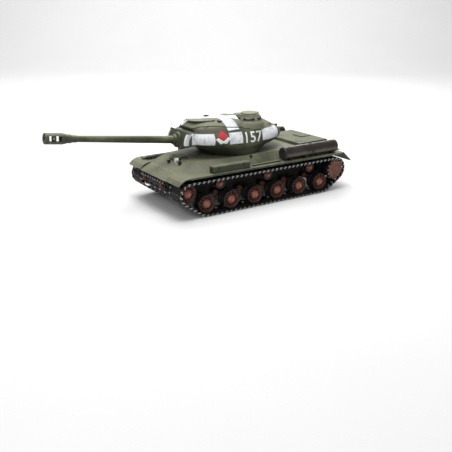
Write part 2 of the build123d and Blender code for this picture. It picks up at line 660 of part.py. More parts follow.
def main():
    pins, pitch = belt_pins(LINK_COUNT)
    mids = [((a[0] + b[0]) / 2 - SPROCKET[0], (a[1] + b[1]) / 2 - SPROCKET[1])
            for a, b in zip(pins, pins[1:] + pins[:1])]
    rearmost = max(mids)
    tooth_turn = math.atan2(rearmost[1], rearmost[0])
    tooth_pitch = 2 * SPROCKET_PIN_R * math.sin(math.pi / SPROCKET_TEETH)
    print("link pitch", round(pitch, 3), "tooth pitch", round(tooth_pitch, 3))

    for word, side in SIDES.items():
        for k in range(WHEEL_COUNT):
            y = k * WHEEL_PITCH
            save(f"{word}_arm_{k + 1}", on_side(swing_arm(y), side))
            save(f"{word}_road_wheel_{k + 1}", *[on_side(one, side) for one in road_wheel(y, AXLE_Z)])
        for k, y in enumerate(ROLLER_STATIONS):
            save(f"{word}_return_roller_{k + 1}", *[on_side(one, side) for one in return_roller(y)])
        save(f"{word}_idler", *[on_side(one, side) for one in road_wheel(*IDLER)])
        save(f"{word}_sprocket", *[on_side(one, side) for one in sprocket(tooth_turn)])
        save(f"{word}_motor_pinion", on_side(motor_pinion(), side))
        save(f"{word}_track", *[on_side(one, side) for one in track_side(pins, pitch)])

    save("lower_hull", lower_hull())
    save("upper_hull", upper_hull())
    save("engine_deck", *engine_deck())
    save("fuel_drums", *fuel_drums())
    save("fender_stowage", *fender_stowage())
    save("headlight_and_horn", *headlight_and_horn())
    save("gearboxes", *gearboxes())
    save("battery_pack", *battery_pack())
    save("electronics", *electronics())
    save("battery_cover", battery_cover())
    save("screws", *screws())
    save("power_switch", block(-2.0, 2.0, 76.0, 79.6, 24.6, 28.4))

    save("turret_shell", turret_shell())
    save("turret_fittings", *turret_fittings())
    save("commander_cupola", commander_cupola())
    save("commander_hatch", commander_hatch())
    save("loader_hatch", loader_hatch())
    save("turret_ring", turret_ring())
    save("turret_pinion", turret_pinion())
    save("mantlet", mantlet())
    save("gun_barrel", gun_barrel())
    save("muzzle_brake", muzzle_brake())


main()
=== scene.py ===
import bmesh
import bpy
import math
import random
from mathutils import Matrix, Vector
from mathutils.bvhtree import BVHTree


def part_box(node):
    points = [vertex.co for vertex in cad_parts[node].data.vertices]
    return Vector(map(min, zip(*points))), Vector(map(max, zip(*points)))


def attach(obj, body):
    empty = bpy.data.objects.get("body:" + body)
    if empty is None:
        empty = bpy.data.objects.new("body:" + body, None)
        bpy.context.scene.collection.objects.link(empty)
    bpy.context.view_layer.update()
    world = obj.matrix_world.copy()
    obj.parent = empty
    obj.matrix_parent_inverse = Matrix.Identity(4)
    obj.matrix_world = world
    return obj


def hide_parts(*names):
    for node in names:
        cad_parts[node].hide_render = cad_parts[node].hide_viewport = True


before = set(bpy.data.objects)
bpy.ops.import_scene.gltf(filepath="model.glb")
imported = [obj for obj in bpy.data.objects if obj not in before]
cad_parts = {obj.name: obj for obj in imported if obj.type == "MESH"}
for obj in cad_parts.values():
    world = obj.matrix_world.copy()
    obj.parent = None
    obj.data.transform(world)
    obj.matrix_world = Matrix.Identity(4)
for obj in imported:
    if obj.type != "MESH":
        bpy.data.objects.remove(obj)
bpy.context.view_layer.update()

# Pieces are drawn in millimetres. Stations run rearwards from the first road-wheel axle, and the
# middle of the overall length is station MIDDLE.
MM = 0.001
MIDDLE = 40.75
TRACK_X = 75.3
TRACK_W = 40.6
SIDES = (("left", 1), ("right", -1))
CUPOLA = (28, 133)
LOADER_HATCH = (-24, 112)
RECOGNITION_BAND = (118.6, 139.0)
DRUM_X = 82.3
DRUM_Z = 90.2


def at(x, station, z):
    """A point given by its station and its height in millimetres, in the frame's metres."""
    return Vector((x, station - MIDDLE, z)) * MM


# ------------------------------------------------------------------ finishes

class Value:
    """A shader socket that Python arithmetic can work on."""

    def __init__(self, finish, socket):
        self.finish = finish
        self.socket = socket

    def __add__(self, other):
        return self.finish.sum("ADD", self, other)

    def __radd__(self, other):
        return self.finish.sum("ADD", other, self)

    def __sub__(self, other):
        return self.finish.sum("SUBTRACT", self, other)

    def __rsub__(self, other):
        return self.finish.sum("SUBTRACT", other, self)

    def __mul__(self, other):
        return self.finish.sum("MULTIPLY", self, other)

    def __rmul__(self, other):
        return self.finish.sum("MULTIPLY", other, self)


class Finish:
    """One material and the nodes behind it."""

    def __init__(self, name, metallic=0.0, roughness=0.6, coat=0.0):
        self.material = bpy.data.materials.new(name)
        self.material.use_nodes = True
        self.tree = self.material.node_tree
        self.shader = self.tree.nodes["Principled BSDF"]
        self.shader.inputs["Metallic"].default_value = metallic
        self.shader.inputs["Roughness"].default_value = roughness
        self.shader.inputs["Coat Weight"].default_value = coat
        self.place = self.node("TexCoord", out="Object")

    def node(self, kind, settings=(), sockets=(), out=0):
        made = self.tree.nodes.new("ShaderNode" + kind)
        for key, value in dict(settings).items():
            setattr(made, key, value)
        for key, value in dict(sockets).items():
            if isinstance(value, Value):
                self.tree.links.new(value.socket, made.inputs[key])
            else:
                made.inputs[key].default_value = value
        return Value(self, made.outputs[out])

    def sum(self, operation, *terms):
        return self.node("Math", {"operation": operation}, dict(enumerate(terms)))

    def clamp(self, value):
        return self.node("Math", {"operation": "ADD", "use_clamp": True}, {0: value, 1: 0.0})

    def step(self, value, low, high):
        """0 below low, 1 above high, smooth between; low may be the larger."""
        flip = low > high
        made = self.node("MapRange", {"interpolation_type": "SMOOTHSTEP"},
                         {"Value": value, "From Min": min(low, high), "From Max": max(low, high)})
        return 1 - made if flip else made

    def mix(self, factor, first, second):
        return self.node("Mix", {"data_type": "RGBA"}, {0: factor, 6: first, 7: second}, out=2)

    def noise(self, scale, detail=3.0, place=None, roughness=0.55):
        return self.node("TexNoise", {}, {"Vector": place or self.place, "Scale": scale, "Detail": detail,
                                          "Roughness": roughness})

    def axes(self):
        """The three coordinates of the surface, in millimetres."""
        parts = self.tree.nodes.new("ShaderNodeSeparateXYZ")
        self.tree.links.new(self.place.socket, parts.inputs[0])
        return [Value(self, parts.outputs[k]) * 1000.0 for k in range(3)]

    def facing(self, axis):
        """How far the surface faces along one axis of its own body, from -1 to 1."""
        normal = self.node("TexCoord", out="Normal")
        parts = self.tree.nodes.new("ShaderNodeSeparateXYZ")
        self.tree.links.new(normal.socket, parts.inputs[0])
        return Value(self, parts.outputs[axis])

    def worn_edges(self, radius):
        """1 along convex and concave edges, 0 on open faces."""
        soft = self.node("Bevel", {"samples": 4}, {"Radius": radius * MM})
        true = self.node("NewGeometry", out="Normal")
        alike = self.node("VectorMath", {"operation": "DOT_PRODUCT"}, {0: soft, 1: true}, out="Value")
        return self.step(alike, 0.995, 0.93)

    def set(self, **sockets):
        names = {"colour": "Base Color", "roughness": "Roughness", "metallic": "Metallic", "normal": "Normal"}
        for key, value in sockets.items():
            self.tree.links.new(value.socket, self.shader.inputs[names[key]])
        return self

    def bump(self, height, depth, strength=0.6):
        relief = {"Height": height, "Distance": depth * MM, "Strength": strength}
        self.set(normal=self.node("Bump", {}, relief))
        return self


def rgb(r, g, b):
    """Paint colour from the usual 0 to 255 values."""
    def linear(c):
        c /= 255
        return c / 12.92 if c < 0.04045 else ((c + 0.055) / 1.055) ** 2.4
    return (linear(r), linear(g), linear(b), 1.0)


OLIVE_SHADOW = rgb(26, 29, 17)
OLIVE_DEEP = rgb(42, 48, 27)
OLIVE = rgb(68, 74, 46)
# pale dusty olive, also the painted highlight on surfaces that face up
OLIVE_DUST_AND_HIGHLIGHT = rgb(132, 132, 110)
BROWN_DEEP = rgb(40, 20, 17)
BROWN_RUBBED = rgb(150, 98, 80)
WHITEWASH = rgb(226, 229, 232)


def olive_surface(finish, dust_and_highlight=1.0, lift=0.0):
    """Matt olive paint: cloudy fading, dust and a painted highlight on what faces up, painted shade on what
    faces down, rubbed edges and fine chips.
    """
    cloud = finish.noise(16, 4)
    grain = finish.noise(240, 3)
    # what faces up gets dust and a painted highlight of the light from above
    up = finish.step(finish.facing(2), 0.45, 0.98)
    dust_and_highlight_mask = finish.clamp((cloud - 0.44) * 1.1 * dust_and_highlight + up * (0.55 * dust_and_highlight) + lift)
    colour = finish.mix(finish.step(cloud, 0.3, 0.62), OLIVE_DEEP, OLIVE)
    colour = finish.mix(dust_and_highlight_mask, colour, OLIVE_DUST_AND_HIGHLIGHT)
    streak = finish.step(finish.noise(70, 5, roughness=0.7), 0.56, 0.74)
    colour = finish.mix(streak * 0.35, colour, OLIVE_DEEP)
    # painted shade: surfaces that face down are darkened towards OLIVE_SHADOW
    underside_shade = finish.step(finish.facing(2), 0.2, -0.45)
    colour = finish.mix(underside_shade * 0.62, colour, OLIVE_SHADOW)
    edge = finish.worn_edges(0.9) * finish.step(finish.noise(120, 3), 0.38, 0.6)
    colour = finish.mix(edge * 0.55, colour, rgb(176, 174, 156))
    return colour, grain, cloud


def olive_paint(name, dust_and_highlight, lift=0.0):
    finish = Finish(name, roughness=0.62)
    colour, grain, cloud = olive_surface(finish, dust_and_highlight, lift)
    finish.set(colour=colour, roughness=0.5 + cloud * 0.24 + grain * 0.08)
    return finish.bump(grain, 0.12, 0.35).material


def casting_paint(name, strips, cross=False, shaded_front=False):
    """Olive casting with its share of the whitewashed band round the flanks and of the cross on the roof."""
    finish = Finish(name, roughness=0.62)
    colour, grain, cloud = olive_surface(finish)
    x, y, z = finish.axes()
    station = y + MIDDLE
    wander = (finish.noise(60, 3) - 0.5) * 2.4

    def between(value, low, high):
        return finish.step(value, low - 0.7, low + 0.7) * finish.step(value, high + 0.7, high - 0.7)

    # painted shade: faces that look forward are darkened
    if shaded_front:
        colour = finish.mix(finish.step(finish.facing(1), -0.35, -0.7) * 0.6, colour, rgb(40, 41, 28))
    # painted shade on the upper flank between the band and the roof crease, fading out between stations 96
    # and 108
    shoulder_shade = finish.step(z, 138, 141) * finish.step(z, 149.5, 146) * finish.step(station, 108, 96)
    colour = finish.mix(shoulder_shade * 0.5, colour, OLIVE_SHADOW)
    band = between(z + station * 0.018 + wander * 0.3, *RECOGNITION_BAND)
    runs = 0.0
    for low, high in strips:
        runs = between(station + wander * 0.4, low, high) + runs
    flank = finish.step(finish.sum("ABSOLUTE", x), 27, 31)
    white = band * runs * flank
    if cross:
        roof = finish.step(z, 138, 143) * finish.step(finish.facing(2), 0.25, 0.5)
        middle = (station - 24) * 0.45 - 19
        along = between(x - middle + wander, -12, 12) * between(station, 6, 113)
        over = between(station + wander, 68, 93) * between(x, -42, 52)
        white = white + (along + over) * roof
    white = finish.clamp(white)
    worn = finish.step(finish.noise(90, 6, roughness=0.75), 0.34, 0.5)
    white = white * (0.6 + worn * 0.4)
    wash = finish.mix(finish.step(finish.noise(30, 4), 0.42, 0.7), WHITEWASH, rgb(188, 192, 196))
    finish.set(colour=finish.mix(white, colour, wash), roughness=0.5 + cloud * 0.24 + grain * 0.08)
    return finish.bump(grain + finish.noise(70, 2) * 0.8, 0.25, 0.4).material


def dark_paint():
    finish = Finish("hull_side_shade", roughness=0.75)
    cloud = finish.noise(20, 4)
    colour = finish.mix(finish.step(cloud, 0.3, 0.7), rgb(9, 9, 7), rgb(20, 20, 15))
    colour = finish.mix(finish.step(finish.noise(80, 4), 0.55, 0.75) * 0.3, colour, rgb(52, 42, 32))
    return finish.set(colour=colour, roughness=0.6 + cloud * 0.25).bump(finish.noise(200, 3), 0.15).material


def brown_paint(name, deep, mid, rubbed, edge_amount=0.8):
    finish = Finish(name, roughness=0.55)
    cloud = finish.noise(90, 4)
    grain = finish.noise(500, 3)
    colour = finish.mix(finish.step(cloud, 0.32, 0.62), deep, mid)
    edge = finish.worn_edges(0.7) * finish.step(finish.noise(220, 3), 0.34, 0.56)
    colour = finish.mix(edge * edge_amount, colour, rubbed)
    finish.set(colour=colour, roughness=0.42 + cloud * 0.3)
    return finish.bump(grain, 0.08, 0.4).material


def worn_steel(name, dark, bright, shine, metal=0.7):
    """Blackened casting rubbed bright along its edges, and all over by the amount of shine."""
    finish = Finish(name, metallic=metal, roughness=0.45)
    cloud = finish.noise(150, 4)
    edge = finish.clamp(finish.worn_edges(0.55) * finish.step(finish.noise(260, 3), 0.3, 0.5) + shine)
    colour = finish.mix(finish.step(cloud, 0.35, 0.7), dark, tuple(c * 1.8 for c in dark[:3]) + (1.0,))
    colour = finish.mix(edge, colour, bright)
    finish.set(colour=colour, roughness=0.62 - edge * 0.3)
    return finish.bump(finish.noise(400, 3), 0.1, 0.5).material


def drum_metal():
    finish = Finish("drum_metal", metallic=0.85, roughness=0.24)
    cloud = finish.noise(40, 4)
    scratch = finish.step(finish.noise(300, 5, roughness=0.8), 0.58, 0.72)
    colour = finish.mix(cloud, rgb(44, 40, 37), rgb(96, 90, 84))
    colour = finish.mix(scratch * 0.5, colour, rgb(176, 168, 158))
    finish.set(colour=colour, roughness=0.2 + cloud * 0.2)
    return finish.bump(finish.noise(250, 3), 0.06, 0.4).material


def plain_finish(name, colour, other, scale, roughness, metallic=0.0, depth=0.05):
    finish = Finish(name, metallic=metallic, roughness=roughness)
    cloud = finish.noise(scale, 4)
    finish.set(colour=finish.mix(cloud, colour, other), roughness=roughness - 0.1 + cloud * 0.2)
    return finish.bump(finish.noise(scale * 4, 3), depth, 0.4).material


def lamp_and_horn():
    """Pale headlamp between blackened brackets."""
    finish = Finish("lamp_and_horn", roughness=0.4)
    x = finish.axes()[0]
    lamp = finish.step(x, 9.5, 10.5) * finish.step(x, 24.5, 23.5)
    cloud = finish.noise(200, 3)
    pale = finish.mix(cloud, rgb(190, 192, 186), rgb(228, 229, 226))
    return finish.set(colour=finish.mix(lamp, rgb(20, 20, 18), pale)).bump(cloud, 0.05).material


PAINT = olive_paint("olive_paint", 1.0)
PALE = olive_paint("cupola_paint", 1.2, 0.55)
DECK = olive_paint("deck_paint", 0.62)
# the gun gets more dust and a stronger painted highlight along its top
GUN = olive_paint("gun_paint", 1.2)
TURRET = casting_paint("turret_paint", ((1.5, 38), (67, 96), (144, 196)), cross=True)
# the mantlet's forward faces get painted shade
MANTLET = casting_paint("mantlet_paint", ((-16, 4),), shaded_front=True)
SHADE = dark_paint()
BROWN_DISC = brown_paint("wheel_disc_brown", BROWN_DEEP, rgb(104, 54, 42), BROWN_RUBBED, 0.6)
# the wheel brown made lighter on the domed hubs: a painted highlight, with rubbed edges as real wear
BROWN_HUB_LIT = brown_paint("hub_brown", rgb(96, 54, 41), rgb(146, 92, 72), rgb(196, 150, 128), 0.8)
SPROCKET_BROWN = brown_paint("sprocket_brown", rgb(60, 33, 25), rgb(104, 62, 47), rgb(160, 124, 104), 0.7)
RIM = worn_steel("wheel_rim", rgb(20, 15, 13), rgb(134, 120, 110), 0.0, 0.2)
RIM_SHADE = plain_finish("rim_shade", rgb(6, 5, 5), rgb(14, 11, 10), 60, 0.9)
TRACK = worn_steel("track_cast", rgb(12, 12, 11), rgb(66, 66, 63), 0.0, 0.3)
TRACK_BRIGHT = worn_steel("track_rubbed", rgb(96, 96, 92), rgb(206, 206, 200), 0.35, 0.6)
DRUM = drum_metal()
BLACK = plain_finish("blackened_fitting", rgb(16, 16, 15), rgb(34, 33, 30), 120, 0.6)
LAMPS = lamp_and_horn()
# dark line along the roof joint, painted shade of the crease there
SEAM_SHADE = plain_finish("seam_shade", rgb(20, 22, 14), rgb(36, 38, 25), 120, 0.8)
GEAR = plain_finish("bare_gear_steel", rgb(150, 150, 150), rgb(190, 190, 188), 150, 0.35, 0.9)
WRAP = plain_finish("battery_wrap", rgb(20, 36, 96), rgb(32, 52, 120), 40, 0.4)
BOARD = plain_finish("circuit_green", rgb(16, 70, 40), rgb(24, 92, 54), 120, 0.4)
RED = plain_finish("emblem_red", rgb(186, 34, 52), rgb(206, 58, 72), 300, 0.6)
MARKING = plain_finish("marking_white", rgb(222, 224, 222), rgb(240, 241, 238), 260, 0.7)
GLASS = plain_finish("periscope_glass", rgb(10, 13, 14), rgb(20, 26, 28), 100, 0.12)


# ------------------------------------------------------------------ mesh work

class Draft:
    """Collects faces in millimetres and turns them into one piece."""

    def __init__(self):
        self.mesh = bmesh.new()

    def loft(self, rings, finish=0, closed=True, caps=(False, False)):
        """Skin between rings of matching points; finish may be one number per gap."""
        rows = [[self.mesh.verts.new(p) for p in ring] for ring in rings]
        count = len(rows[0])
        for k, (low, high) in enumerate(zip(rows, rows[1:])):
            number = finish[k] if isinstance(finish, (list, tuple)) else finish
            for j in range(count if closed else count - 1):
                n = (j + 1) % count
                self.mesh.faces.new((low[j], low[n], high[n], high[j])).material_index = number
        last = finish[-1] if isinstance(finish, (list, tuple)) else finish
        first = finish[0] if isinstance(finish, (list, tuple)) else finish
        if caps[0]:
            self.mesh.faces.new(rows[0][::-1]).material_index = first
        if caps[1]:
            self.mesh.faces.new(rows[-1]).material_index = last

    def turned(self, profile, centre=(0, 0, 0), axis=0, segments=32, finish=0, caps=(True, True)):
        """Solid of revolution from (offset, radius) points about one of the three axes."""
        rings = []
        for offset, r in profile:
            ring = []
            for k in range(segments):
                turn = 2 * math.pi * k / segments
                point = [0.0, 0.0, 0.0]
                point[axis] = offset
                point[(axis + 1) % 3] = r * math.cos(turn)
                point[(axis + 2) % 3] = r * math.sin(turn)
                ring.append([a + b for a, b in zip(point, centre)])
            rings.append(ring)
        self.loft(rings, finish, caps=caps)

    def box(self, low, high, finish=0):
        corners = ((low[0], low[1]), (high[0], low[1]), (high[0], high[1]), (low[0], high[1]))
        self.loft([[(x, y, low[2]) for x, y in corners], [(x, y, high[2]) for x, y in corners]], finish,
                  caps=(True, True))

    def rod(self, start, end, r, finish=0, segments=12, tip=None):
        start, end = Vector(start), Vector(end)
        along = (end - start).normalized()
        side = along.orthogonal().normalized()
        up = along.cross(side)
        rings = []
        for centre, radius in ((start, r), (end, r if tip is None else tip)):
            rings.append([centre + radius * (math.cos(a) * side + math.sin(a) * up)
                          for a in (2 * math.pi * k / segments for k in range(segments))])
        self.loft(rings, finish, caps=(True, True))

    def tube(self, points, r, finish=0, segments=8):
        for start, end in zip(points, points[1:]):
            self.rod(start, end, r, finish, segments)
        for p in points[1:-1]:
            ball(self, p, r, finish, segments)

    def piece(self, name, body, finishes, slot, replaces=(), bevel=0.0, smooth=35, location=None,
              on_drawing=True):
        """Close the draft as an object riding on a body; on_drawing shifts stations to the frame."""
        bmesh.ops.recalc_face_normals(self.mesh, faces=self.mesh.faces)
        shift = Matrix.Translation((0, -MIDDLE, 0)) if on_drawing else Matrix.Identity(4)
        self.mesh.transform(Matrix.Scale(MM, 4) @ shift)
        mesh = bpy.data.meshes.new(name)
        self.mesh.to_mesh(mesh)
        self.mesh.free()
        return place_mesh(mesh, name, body, finishes, replaces, bevel, smooth, location)


def ball(draft, centre, r, finish, segments):
    angles = [math.radians(t) for t in (-80, -50, -20, 20, 50, 80)]
    profile = [(r * math.sin(a), r * math.cos(a)) for a in angles]
    draft.turned(profile, centre, 2, segments, finish)


def place_mesh(mesh, name, body, finishes, replaces=(), bevel=0.0, smooth=35, location=None):
    piece = bpy.data.objects.new(name, mesh)
    bpy.context.scene.collection.objects.link(piece)
    if not mesh.materials:
        for finish in finishes:
            mesh.materials.append(finish)
    mesh.shade_smooth()
    mesh.set_sharp_from_angle(angle=math.radians(smooth))
    if location is not None:
        piece.location = location
    if bevel:
        soft = piece.modifiers.new("soft_edges", "BEVEL")
        soft.width = bevel * MM
        soft.segments = 2
        soft.limit_method = "ANGLE"
        soft.angle_limit = math.radians(40)
    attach(piece, body)
    if replaces:
        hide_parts(*replaces)
    return piece


def middle_of(node):
    low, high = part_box(node)
    return (low + high) / 2


# ------------------------------------------------------------------ wheels

def casting_mesh(draft, name, sign):
    """The drafted wheel as a mesh in metres, turned to face outwards on its side."""
    bmesh.ops.recalc_face_normals(draft.mesh, faces=draft.mesh.faces)
    draft.mesh.transform(Matrix.Scale(MM, 4) @ Matrix.Scale(sign, 4, Vector((1, 0, 0))))
    if sign < 0:
        bmesh.ops.reverse_faces(draft.mesh, faces=draft.mesh.faces)
    mesh = bpy.data.meshes.new(name)
    draft.mesh.to_mesh(mesh)
    draft.mesh.free()
    for finish in (BROWN_DISC, RIM, BROWN_HUB_LIT, RIM_SHADE):
        mesh.materials.append(finish)
    return mesh


def wheel_mesh(name, sign, r, spokes=12):
    """Twin-rimmed cast wheel about its own centre; the outer face looks along +X times sign."""
    draft = Draft()
    n = 40
    # inner rim, groove and outer rim
    draft.turned([(-11.3, 3.0), (-11.3, r - 0.3), (-11.0, r), (-3.6, r), (-3.3, r - 0.3), (-3.3, 9.6),
                  (3.3, 9.6), (3.3, r - 0.3), (3.6, r), (11.0, r), (11.3, r - 0.3), (11.3, r - 1.7),
                  (10.8, r - 2.1), (9.2, r - 2.4), (8.6, r - 3.2)],
                 axis=0, segments=n, finish=[3, 1, 1, 1, 3, 3, 3, 3, 1, 1, 1, 1, 0, 0], caps=(True, False))
    # dished disc between the rim and the hub
    draft.turned([(8.6, r - 3.2), (6.6, r - 4.2), (5.9, 8.2), (8.4, 7.6), (10.2, 7.4)], axis=0, segments=n,
                 finish=[0, 3, 0, 0], caps=(False, False))
    # domed hub
    draft.turned([(10.2, 7.4), (11.0, 7.0), (12.0, 6.0), (12.5, 5.0), (13.6, 4.7), (14.8, 3.9), (15.4, 2.6),
                  (15.65, 1.0)], axis=0, segments=n, finish=2, caps=(False, True))
    for k in range(spokes):
        turn = Matrix.Rotation(2 * math.pi * k / spokes, 4, "X")
        rib = [(5.6, 6.9, -1.0), (5.6, 6.9, 1.0), (10.4, 7.2, 0.8), (10.4, 7.2, -0.8)]
        end = [(5.6, r - 3.0, -0.9), (5.6, r - 3.0, 0.9), (8.9, r - 3.2, 0.7), (8.9, r - 3.2, -0.7)]
        draft.loft([[turn @ Vector(p) for p in rib], [turn @ Vector(p) for p in end]], 0, caps=(True, True))
        bolt = turn @ Vector((11.2, 6.0, 1.6))
        draft.rod((10.4, bolt.y, bolt.z), (11.9, bolt.y, bolt.z), 0.55, 2, 6)
    return casting_mesh(draft, name, sign)


def roller_mesh(name, sign):
    """Twin-rimmed return roller about its own centre, with a bolted hub."""
    draft = Draft()
    n = 28
    draft.turned([(-9, 2.4), (-9, 9.5), (-8.7, 9.8), (-3.7, 9.8), (-3.4, 9.5), (-3.4, 4.4), (3.4, 4.4),
                  (3.4, 9.5), (3.7, 9.8), (8.7, 9.8), (9, 9.5), (9, 8.2), (8.2, 7.6), (7.0, 6.9)],
                 axis=0, segments=n, finish=[3, 1, 1, 1, 3, 3, 3, 3, 1, 1, 1, 1, 0], caps=(True, False))
    draft.turned([(7.0, 6.9), (6.8, 4.6), (8.6, 4.3), (9.6, 4.0), (11.2, 3.5), (12.3, 2.2), (12.65, 0.8)],
                 axis=0, segments=n, finish=[0, 2, 2, 2, 2, 2], caps=(False, True))
    for k in range(6):
        turn = 2 * math.pi * k / 6
        bolt = (5.7 * math.cos(turn), 5.7 * math.sin(turn))
        draft.rod((6.6, *bolt), (7.7, *bolt), 0.6, 2, 6)
    return casting_mesh(draft, name, sign)


def running_gear():
    for word, sign in SIDES:
        wheel = wheel_mesh(f"{word}_wheel_casting", sign, 17.2)
        roller = roller_mesh(f"{word}_roller_casting", sign)
        names = [f"{word}_road_wheel_{k}" for k in range(1, 7)] + [f"{word}_idler"]
        rollers = [f"{word}_return_roller_{k}" for k in range(1, 4)]
        for mesh, nodes, bevel in ((wheel, names, 0.25), (roller, rollers, 0.2)):
            for node in nodes:
                centre = middle_of(node)
                centre.x = sign * TRACK_X * MM
                place_mesh(mesh, node + "_casting", node, (), (node,), bevel=bevel,
                           location=centre)


# ------------------------------------------------------------------ tracks

PIN_Z = 1.5
CORNER_R = 34.0
LAST_AXLE = 271.5
SPROCKET = (305.0, 43.8)
IDLER = (-40.4, 46.0)
BELT = [((0.0, PIN_Z + CORNER_R), CORNER_R), ((LAST_AXLE, PIN_Z + CORNER_R), CORNER_R), (SPROCKET, 22.75),
        (IDLER, 19.7)]
LINKS = 82


def belt_pins(count):
    """Evenly spaced track pins around the belt circles and their outer tangents."""
    spans = []
    for k, (centre, r) in enumerate(BELT):
        after, after_r = BELT[(k + 1) % len(BELT)]
        way = Vector(after) - Vector(centre)
        along = (r - after_r) / way.length
        across = math.sqrt(1 - along * along)
        spans.append(way.normalized() * along + Vector((way.y, -way.x)).normalized() * across)
    parts = []
    for k, (centre, r) in enumerate(BELT):
        start = math.atan2(spans[k - 1].y, spans[k - 1].x)
        turn = (math.atan2(spans[k].y, spans[k].x) - start) % (2 * math.pi)
        parts.append((r * turn, lambda d, c=centre, r=r, a=start: (c[0] + r * math.cos(a + d / r),
                                                                    c[1] + r * math.sin(a + d / r))))
        after, after_r = BELT[(k + 1) % len(BELT)]
        first = Vector(centre) + r * spans[k]
        last = Vector(after) + after_r * spans[k]
        length = (last - first).length
        parts.append((length, lambda d, a=first, b=last, n=length: tuple(a.lerp(b, d / n))))
    total = sum(length for length, _ in parts)
    pins = []
    for k in range(count):
        distance = total * k / count
        for length, point in parts:
            if distance <= length:
                pins.append(point(distance))
                break
            distance -= length
    return pins, total / count


def add_link(draft, place, pitch, horned):
    """One cast link: webbed plate, hinge knuckles, rubbed strokes at both ends, and a guide horn if asked."""
    part = Draft()
    w = TRACK_W / 2
    half = pitch / 2 - 1.5
    part.box((-w + 0.6, -half, -0.5), (w - 0.6, half, 0.9), 0)
    # raised border and webs on the outer face
    part.box((-w + 0.2, -half, -1.5), (w - 0.2, -half + 1.3, 0.9), 0)
    part.box((-w + 0.2, half - 1.3, -1.5), (w - 0.2, half, 0.9), 0)
    for x in (-16.8, -8.4, 8.4, 16.8):
        part.box((x - 0.8, -half, -1.35), (x + 0.8, half, 0.9), 0)
    # pads the road wheels roll on
    for x in (-7.4, 7.4):
        part.box((x - 3.6, -half + 0.2, 0.9), (x + 3.6, half - 0.2, 1.5), 0)
    for x0, x1, end in ((-5.0, 5.0, 1), (16.3, w, 1), (-w, -16.3, 1), (5.3, 11.6, -1), (-11.6, -5.3, -1)):
        y = end * pitch / 2
        part.box((x0, min(end * (half - 0.4), y), -1.0), (x1, max(end * (half - 0.4), y), 1.0), 0)
        part.turned([(x0, 0.9), (x0 + 0.35, 1.48), (x1 - 0.35, 1.48), (x1, 0.9)], (0, y, 0), 0, 10, 0)
    for side in (-1, 1):
        stroke = [(side * (w - 2.4), -2.2), (side * w, -1.0), (side * w, 1.8), (side * (w - 2.4), 0.6)]
        part.loft([[(x, y, z) for x, y in stroke] for z in (-1.5, -1.0)], 1, caps=(True, True))
        lean = Matrix.Translation((side * (w + 0.3), 0.4, 0.3)) @ Matrix.Rotation(math.radians(38), 4, "X")
        bar = [(-0.7, -2.7, -0.75), (0.7, -2.7, -0.75), (0.7, 2.7, -0.75), (-0.7, 2.7, -0.75)]
        ends = [[lean @ Vector((x, y, z + rise)) for x, y, z in bar] for rise in (0, 1.5)]
        part.loft(ends, 1, caps=(True, True))
    if horned:
        base = [(-2.3, -2.8, 1.3), (2.3, -2.8, 1.3), (2.3, 2.8, 1.3), (-2.3, 2.8, 1.3)]
        mid = [(-1.9, -2.2, 4.6), (1.9, -2.2, 4.6), (1.9, 2.2, 4.6), (-1.9, 2.2, 4.6)]
        tip = [(-1.1, -1.1, 6.4), (1.1, -1.1, 6.4), (1.1, 1.1, 6.4), (-1.1, 1.1, 6.4)]
        part.loft([base, mid], 0)
        part.loft([mid, tip], 1, caps=(False, True))
    part.mesh.transform(place)
    scratch = bpy.data.meshes.new("link")
    part.mesh.to_mesh(scratch)
    part.mesh.free()
    draft.mesh.from_mesh(scratch)
    bpy.data.meshes.remove(scratch)


def tracks():
    """Both tracks as closed loops of links, with a horn on every other one."""
    pins, pitch = belt_pins(LINKS)
    for word, sign in SIDES:
        draft = Draft()
        for k, pin in enumerate(pins):
            after = pins[(k + 1) % LINKS]
            heading = math.atan2(after[1] - pin[1], after[0] - pin[0])
            place = Matrix.Translation((sign * TRACK_X, (pin[0] + after[0]) / 2, (pin[1] + after[1]) / 2))
            add_link(draft, place @ Matrix.Rotation(heading, 4, "X"), pitch, k % 2 == 0)
        draft.piece(f"{word}_track_links", "hull", (TRACK, TRACK_BRIGHT), "track_steel", (f"{word}_track",),
                    smooth=30)


# ------------------------------------------------------------------ painted markings

def cast_decal(name, outline_faces, surface, side, finish, lift=0.12):
    """Flat shapes in (station, height) laid onto a casting's flank, just proud of it."""
    draft = Draft()
    draft.mesh = outline_faces
    bmesh.ops.triangulate(draft.mesh, faces=draft.mesh.faces)
    for _ in range(3):
        long_edges = [e for e in draft.mesh.edges if e.calc_length() > 2.0]
        if long_edges:
            bmesh.ops.subdivide_edges(draft.mesh, edges=long_edges, cuts=1)
            bmesh.ops.triangulate(draft.mesh, faces=draft.mesh.faces)
    for v in draft.mesh.verts:
        origin = at(side * 100, v.co.x, v.co.y)
        hit, normal, _, _ = surface.ray_cast(origin, Vector((-side, 0, 0)))
        if hit is None:
            hit, normal = at(side * 50, v.co.x, v.co.y), Vector((side, 0, 0))
        v.co = hit / MM + normal * lift + Vector((0, MIDDLE, 0))
    return draft.piece(name, "turret", (finish,), "green_paint", smooth=60)


